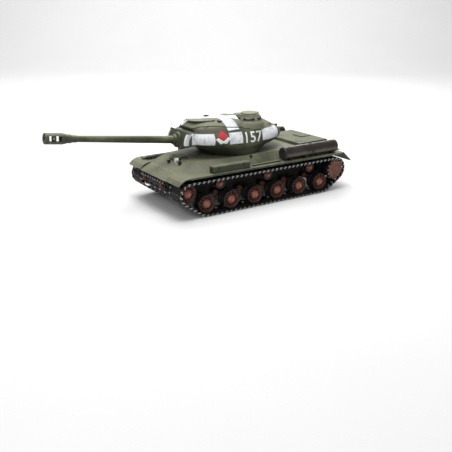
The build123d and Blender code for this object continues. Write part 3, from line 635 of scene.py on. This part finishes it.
def flat_text(text, height, station, base_z, slope, side):
    """Digits as flat faces in (station, height), reading correctly from their own side."""
    curve = bpy.data.curves.new("digits", "FONT")
    curve.body = text
    curve.size = height * 1.38
    curve.offset = 0.35
    curve.resolution_u = 6
    carrier = bpy.data.objects.new("digits", curve)
    bpy.context.scene.collection.objects.link(carrier)
    bpy.context.view_layer.update()
    evaluated = carrier.evaluated_get(bpy.context.evaluated_depsgraph_get())
    mesh = bpy.data.meshes.new_from_object(evaluated)
    bpy.data.objects.remove(carrier)
    flat = bmesh.new()
    flat.from_mesh(mesh)
    bpy.data.meshes.remove(mesh)
    bpy.data.curves.remove(curve)
    for v in flat.verts:
        x, y = v.co.x, v.co.y
        along = station + side * x * 1.1
        v.co = Vector((along, base_z + y - slope * (along - station), 0))
    return flat


def flat_polygon(*outlines):
    flat = bmesh.new()
    for outline in outlines:
        flat.faces.new([flat.verts.new((a, b, 0)) for a, b in outline])
    return flat


def markings():
    """Tactical number and a plain diamond over a chevron, on both flanks of the turret."""
    surface = shell_surface()
    centre, top = 54.0, 142.5
    for word, side in SIDES:
        digits = flat_text("157", 20.0, 97.0 if side > 0 else 142.0, 116.6, 0.02 * side, side)
        cast_decal(f"number_{word}", digits, surface, side, MARKING)
        diamond = [(centre, top), (centre + 11, 133.5), (centre, 126.5), (centre - 11, 133.5)]
        cast_decal(f"diamond_{word}", flat_polygon(diamond), surface, side, RED, 0.16)
        chevron = [(centre - 15, 128.5), (centre - 10, 131.0), (centre, 124.6), (centre + 10, 131.0),
                   (centre + 15, 128.5), (centre + 6, 119.0), (centre, 121.0), (centre - 6, 119.0)]
        cast_decal(f"chevron_{word}", flat_polygon(chevron), surface, side, MARKING)


def thick_line(points, width):
    """Outline around a run of (station, height) points."""
    upper = [(a, b + width / 2) for a, b in points]
    lower = [(a, b - width / 2) for a, b in points]
    flat = bmesh.new()
    for k in range(len(points) - 1):
        corners = (lower[k], lower[k + 1], upper[k + 1], upper[k])
        flat.faces.new([flat.verts.new((a, b, 0)) for a, b in corners])
    return flat


def roof_seam_shades():
    """A dark strip along the welded joint between the flanks and the roof of the casting, painted shade of
    its crease.
    """
    surface = shell_surface()
    way = [(3, 141.5), (8, 146.0), (20, 149.6), (34, 150.6), (50, 149.4), (67, 147.2), (85, 145.4),
           (101, 143.8), (107, 140.6), (130, 139.4), (152, 137.8)]
    for word, side in SIDES:
        cast_decal(f"roof_seam_{word}", thick_line(way, 1.3), surface, side, SEAM_SHADE, 0.1)


# ------------------------------------------------------------------ fittings

def sprocket_faces():
    """Bolted hub and toothed face plate on the outer side of each drive sprocket."""
    for word, sign in SIDES:
        node = f"{word}_sprocket"
        low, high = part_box(node)
        face = (high.x if sign > 0 else -low.x) / MM
        draft = Draft()
        outline = []
        for k in range(14 * 4):
            turn = 2 * math.pi * (k - 0.5) / 56
            r = (21.2, 21.2, 16.8, 16.8)[k % 4]
            outline.append((r * math.cos(turn), r * math.sin(turn)))
        draft.loft([[(x, y, z) for y, z in outline] for x in (face - 3.0, face - 1.0)], 0, caps=(True, True))
        rib = [(face - 1.2, 15.4), (face - 0.2, 15.0), (face - 0.6, 12.4), (face - 2.4, 11.6)]
        draft.turned(rib, segments=40, caps=(False, False))
        hub = [(face - 1.6, 11.8), (face - 1.2, 9.6), (face + 0.4, 9.0), (face + 1.2, 6.4), (face + 1.6, 2.0)]
        draft.turned(hub, segments=32, caps=(False, True))
        for k in range(14):
            turn = 2 * math.pi * (k + 0.5) / 14
            bolt = (13.9 * math.cos(turn), 13.9 * math.sin(turn))
            draft.rod((face - 0.9, *bolt), (face + 0.5, *bolt), 0.75, 0, 6)
        for k in range(8):
            turn = 2 * math.pi * k / 8
            bolt = (7.7 * math.cos(turn), 7.7 * math.sin(turn))
            draft.rod((face, *bolt), (face + 1.3, *bolt), 0.6, 1, 6)
        draft.mesh.transform(Matrix.Scale(sign, 4, Vector((1, 0, 0))))
        centre = middle_of(node)
        centre.x = 0
        draft.piece(f"{word}_sprocket_face", node, (SPROCKET_BROWN, RIM_SHADE), "rust_brown_paint", bevel=0.2,
                    location=centre, on_drawing=False)


def spare_links():
    """A row of spare track links on the lower nose plate, and the tow hooks at both ends of the hull."""
    rng = random.Random(4)
    draft = Draft()
    foot, head = Vector((0, -45.5, 30.0)), Vector((0, -62.6, 60.0))
    along = (head - foot).normalized()
    out = Vector((0, along.z, -along.y)) * -1
    half = (head - foot).length / 2
    middle = (head + foot) / 2 + out * 1.9
    for k in range(9):
        x = (k - 4) * 9.6
        turn = Matrix(((0, 1, 0, x), (along.y, 0, out.y, middle.y), (along.z, 0, out.z, middle.z),
                       (0, 0, 0, 1)))
        size = Matrix.Diagonal((half / (TRACK_W / 2), 1, 1, 1))
        lift = Matrix.Translation((rng.uniform(-0.6, 0.6), 0, 0))
        add_link(draft, turn @ lift @ size, 9.3, k % 2 == 0)
    draft.piece("spare_links", "hull", (TRACK, TRACK_BRIGHT), "track_steel", smooth=30)
    hooks = Draft()
    for x in (-33, 33):
        bow = [(x, -62.8, 57.0), (x, -66.0, 55.0), (x, -66.6, 51.0), (x, -63.0, 48.6), (x, -59.2, 49.4)]
        hooks.tube(bow, 1.8, 0, 8)
    for x in (-27, 27):
        bow = [(x, 333.0, 66.0), (x, 337.0, 64.0), (x, 337.6, 60.0), (x, 334.0, 57.4)]
        hooks.tube(bow, 1.8, 0, 8)
    hooks.piece("tow_hooks", "hull", (BROWN_DISC,), "rust_brown_paint")


CASTINGS = [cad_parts["turret_shell"].data]


def shell_surface():
    """The turret's outer faces, for laying thin things on them."""
    points, faces = [], []
    for mesh in CASTINGS:
        first = len(points)
        points += [v.co.copy() for v in mesh.vertices]
        faces += [tuple(first + k for k in p.vertices) for p in mesh.polygons]
    return BVHTree.FromPolygons(points, faces)


def plan_ring(z, front, rear, widest, half_width, front_full, rear_full, steps=14):
    """Plan outline of the casting at one height, from four quarter curves."""
    ring = []
    for side, start, full, back in ((1, front, front_full, False), (1, rear, rear_full, True),
                                    (-1, rear, rear_full, False), (-1, front, front_full, True)):
        edge = side * half_width
        bend = widest + full * (start - widest)
        corners = [Vector(p) for p in ((0, start), (full * edge, start), (edge, bend), (edge, widest))]
        turns = [k / steps for k in range(steps)]
        if back:
            turns = [1 - t for t in turns]
        for t in turns:
            u = 1 - t
            shares = (u ** 3, 3 * u * u * t, 3 * u * t * t, t ** 3)
            spot = sum((share * corner for share, corner in zip(shares, corners)), Vector((0, 0)))
            ring.append((spot.x, spot.y, z))
    return ring


# height, front, rear, widest station, half width, and how square the front and rear are
ROOF_RINGS = ((146.0, 7.0, 181.0, 91, 47.2, 0.77, 0.57), (150.0, 9.8, 172.0, 88, 43.2, 0.74, 0.56),
              (153.0, 15.0, 161.5, 86, 38.4, 0.70, 0.56), (155.6, 22.0, 149.0, 84, 32.0, 0.66, 0.55),
              (157.6, 31.0, 136.0, 83, 24.6, 0.62, 0.55), (159.0, 43.0, 121.0, 82, 16.0, 0.58, 0.55),
              (159.6, 56.0, 108.0, 82, 8.0, 0.56, 0.55))


def roof_casting():
    """Smooth crown of the casting, cut away round the loader's hatch and the cupola."""
    draft = Draft()
    draft.loft([plan_ring(*ring) for ring in ROOF_RINGS], caps=(True, True))
    hatches = Draft()
    hatches.turned([(149.0, 18.2), (175.0, 18.2)], (*LOADER_HATCH, 0), 2, 48)
    hatches.turned([(149.0, 26.2), (175.0, 26.2)], (*CUPOLA, 0), 2, 48)
    parts = []
    for name, work in (("crown", draft), ("crown_cutter", hatches)):
        bmesh.ops.recalc_face_normals(work.mesh, faces=work.mesh.faces)
        work.mesh.transform(Matrix.Scale(MM, 4) @ Matrix.Translation((0, -MIDDLE, 0)))
        mesh = bpy.data.meshes.new(name)
        work.mesh.to_mesh(mesh)
        work.mesh.free()
        parts.append(bpy.data.objects.new(name, mesh))
        bpy.context.scene.collection.objects.link(parts[-1])
    crown, cutter = parts
    cut = crown.modifiers.new("hatches", "BOOLEAN")
    cut.operation = "DIFFERENCE"
    cut.object = cutter
    cut.solver = "EXACT"
    bpy.context.view_layer.update()
    mesh = bpy.data.meshes.new_from_object(crown.evaluated_get(bpy.context.evaluated_depsgraph_get()))
    for part in parts:
        bpy.data.objects.remove(part)
    mesh.materials.clear()
    place_mesh(mesh, "roof_crown", "turret", (TURRET,), smooth=40)
    CASTINGS.append(mesh)


def roof_height(x, station):
    """Height of the turret's top at one place, in millimetres."""
    hit = shell_surface().ray_cast(at(x, station, 250), Vector((0, 0, -1)))[0]
    return hit.z / MM if hit else 140.0


def turret_details():
    """Periscope heads, slot, rear gun muzzle, lifting eyes, ventilator and the cupola's skirt and glass."""
    dark = Draft()
    for x, y, z in ((31, 63, 155.4), (-12, 61, 159.6)):
        z = max(z, roof_height(x, y))
        dark.box((x - 3.6, y - 3.2, z - 2.0), (x + 3.6, y + 3.2, z + 2.0), 0)
        dark.box((x - 2.8, y - 4.4, z - 1.0), (x + 2.8, y - 3.2, z + 1.4), 1)
    slot = roof_height(24.6, 52)
    dark.box((22.0, 50.4, slot - 1.5), (27.2, 53.4, slot + 0.5), 0)
    dark.rod((-14, 226, 124.6), (-14, 235.2, 124.6), 2.5, 0, 14)
    dark.piece("roof_periscopes", "turret", (BLACK, GLASS), "lamp_metal", bevel=0.3)
    eyes = Draft()
    for x, y in ((36, 30), (-36, 30), (34, 176), (-34, 176)):
        side = 1 if x > 0 else -1
        z = roof_height(x, y) + 0.4
        hoop = [(x, y - 4, z - 1.5), (x + side * 1.2, y - 3.4, z + 1.8), (x + side * 1.2, y + 3.4, z + 1.8),
                (x, y + 4, z - 1.5)]
        eyes.tube(hoop, 0.8, 0, 8)
    eyes.piece("lifting_eyes", "turret", (PAINT,), "green_paint")
    vent = Draft()
    vent.turned([(152.0, 7.6), (156.6, 7.4), (157.6, 6.4), (158.2, 3.0)], (-8, 146, 0), 2, 32)
    vent.piece("roof_ventilator", "turret", (PAINT,), "green_paint")
    skirt = Draft()
    skirt.turned([(138.0, 29.0), (146.5, 28.6), (149.5, 27.4), (152.0, 24.6)], (*CUPOLA, 0), 2, 48,
                 caps=(False, False))
    skirt.piece("cupola_skirt", "turret", (PALE,), "green_paint")
    slits = Draft()
    for k in range(6):
        turn = math.radians(23 + 60 * k)
        wide = 11.0 if k == 5 else 7.0
        rows = []
        for r, z in ((23.9, 153.8), (22.4, 158.4)):
            rows.append([(CUPOLA[0] + r * math.cos(turn + a), CUPOLA[1] + r * math.sin(turn + a), z)
                         for a in (math.radians(t * wide * 0.4) for t in range(-6, 7))])
        slits.loft(rows, 0, closed=False)
    glass = slits.piece("cupola_vision_glass", "turret", (GLASS,), None, smooth=60)
    solid = glass.modifiers.new("thickness", "SOLIDIFY")
    solid.thickness = 0.8 * MM
    solid.offset = 1


def hull_details():
    """Stowed cable and brackets along the hull, and the straps and end caps of the fuel drums."""
    dark = Draft()
    rng = random.Random(9)
    for k in range(5):
        x = -63.5 - k * 1.6
        z = 79.6 + (k % 2) * 1.8
        dark.tube([(x, -42, z), (x + rng.uniform(-1, 1), -20, z + 0.8), (x, 6, z)], 1.2, 0, 8)
    for y in (-34, -12, 2):
        dark.box((-71.5, y - 1.3, 78.2), (-62.0, y + 1.3, 83.0), 1)
    dark.box((62.4, 110.4, 80.5), (66.6, 113.6, 92.0), 0)
    dark.tube([(67.5, 114, 81.6), (68.5, 130, 81.6), (68.5, 145, 81.6)], 0.7, 0, 6)
    for y in (22, 76):
        dark.box((92.6, y - 2.0, 82.5), (93.8, y + 2.0, 88.2), 0)
    dark.piece("stowed_cable", "hull", (BLACK, TRACK), "track_steel", bevel=0.2)
    straps = Draft()
    open_ends = (False, False)
    for side in (1, -1):
        x = side * DRUM_X
        drum = (x, 0, DRUM_Z)
        cap = [(173.9, 5.0), (173.9, 11.2), (175.6, 12.3), (177.6, 12.45), (178.2, 12.2)]
        straps.turned(cap, drum, 1, 32, 0, (True, False))
        straps.turned([(239.4, 12.2), (239.6, 12.6), (245.9, 12.6), (246.2, 12.2)], drum, 1, 32, 0, open_ends)
        for y in (190, 225, 262, 297):
            strap = [(y - 1.6, 12.2), (y - 1.5, 12.65), (y + 1.5, 12.65), (y + 1.6, 12.2)]
            straps.turned(strap, drum, 1, 32, 1, open_ends)
            straps.box((x - 11, y - 2.2, 77.4), (x + 11, y + 2.2, 80.4), 0)
    straps.piece("drum_straps", "hull", (BLACK, DRUM), "drum_metal")


# ------------------------------------------------------------------ finishes of the carried-over nodes

NODE_FINISH = {
    "turret_shell": TURRET, "mantlet": MANTLET, "loader_hatch": TURRET,
    "upper_hull": PAINT, "fender_stowage": PAINT, "turret_fittings": PAINT, "engine_deck": DECK,
    "commander_cupola": PALE, "commander_hatch": PALE, "gun_barrel": GUN, "muzzle_brake": GUN,
    "lower_hull": SHADE, "battery_cover": SHADE, "fuel_drums": DRUM, "headlight_and_horn": LAMPS,
    "gearboxes": GEAR, "screws": GEAR, "turret_ring": GEAR, "turret_pinion": GEAR,
    "left_motor_pinion": GEAR, "right_motor_pinion": GEAR, "battery_pack": WRAP, "electronics": BOARD,
    "power_switch": BLACK, "left_sprocket": RIM_SHADE, "right_sprocket": RIM_SHADE,
}


def carried_nodes():
    for name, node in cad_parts.items():
        finish = NODE_FINISH.get(name, BROWN_DISC)
        node.data.materials.clear()
        node.data.materials.append(finish)
        node.data.shade_smooth()
        node.data.set_sharp_from_angle(angle=math.radians(28))


# ------------------------------------------------------------------ studio

def studio():
    """A pale sweep that curves up behind the model, and four soft lamps."""
    bpy.context.scene.view_settings.view_transform = "Standard"
    sweep = bmesh.new()
    depth = -0.0004
    profile = [(-3.0, depth), (2.2, depth)]
    for k in range(1, 13):
        turn = math.radians(90 * k / 12)
        profile.append((2.2 + 1.2 * math.sin(turn), depth + 1.2 * (1 - math.cos(turn))))
    profile.append((3.4, 4.0))
    away = Vector((-0.84, 0.543, 0)).normalized()
    across = Vector((-away.y, away.x, 0))
    rows = [[sweep.verts.new(away * d + across * w + Vector((0, 0, z))) for w in (-5, 5)] for d, z in profile]
    for near, far in zip(rows, rows[1:]):
        sweep.faces.new((near[0], near[1], far[1], far[0]))
    mesh = bpy.data.meshes.new("sweep")
    sweep.to_mesh(mesh)
    sweep.free()
    mesh.shade_smooth()
    floor = bpy.data.objects.new("sweep", mesh)
    bpy.context.scene.collection.objects.link(floor)
    paper = Finish("studio_paper", roughness=0.95)
    tone = paper.mix(paper.noise(3, 2), (0.76, 0.76, 0.76, 1), (0.8, 0.8, 0.8, 1))
    mesh.materials.append(paper.set(colour=tone).material)

    world = bpy.data.worlds.new("studio")
    bpy.context.scene.world = world
    world.use_nodes = True
    world.node_tree.nodes["Background"].inputs["Color"].default_value = (1, 1, 1, 1)
    world.node_tree.nodes["Background"].inputs["Strength"].default_value = 0.34

    for name, place, target, size, power in (
            ("overhead", (0.15, -0.1, 1.5), (0, 0, 0.08), 0.8, 17),
            ("key", (1.1, -1.3, 1.2), (0, 0, 0.08), 0.7, 8),
            ("backdrop", (-1.0, 0.6, 2.4), (-2.6, 1.7, 0.5), 1.6, 60),
            ("rim", (-1.2, 1.0, 1.0), (0, 0, 0.1), 0.9, 6)):
        lamp = bpy.data.lights.new(name, "AREA")
        lamp.size = size
        lamp.energy = power
        holder = bpy.data.objects.new(name, lamp)
        bpy.context.scene.collection.objects.link(holder)
        holder.location = place
        holder.rotation_euler = (Vector(target) - Vector(place)).to_track_quat("-Z", "Y").to_euler()


def camera():
    """The view from ahead and to the left, a little above the turret."""
    lens = bpy.data.cameras.new("camera")
    lens.lens = 50.05
    lens.sensor_width = 36.0
    lens.shift_x = 0.0384
    lens.shift_y = 0.0068
    lens.clip_start = 0.05
    view = bpy.data.objects.new("camera", lens)
    bpy.context.scene.collection.objects.link(view)
    view.location = (0.9969, -0.6258, 0.3759)
    view.rotation_euler = Vector((-0.7872, 0.5083, -0.3492)).to_track_quat("-Z", "Y").to_euler()
    bpy.context.scene.camera = view


camera()
studio()
carried_nodes()
running_gear()
tracks()
roof_casting()
markings()
roof_seam_shades()
sprocket_faces()
spare_links()
turret_details()
hull_details()
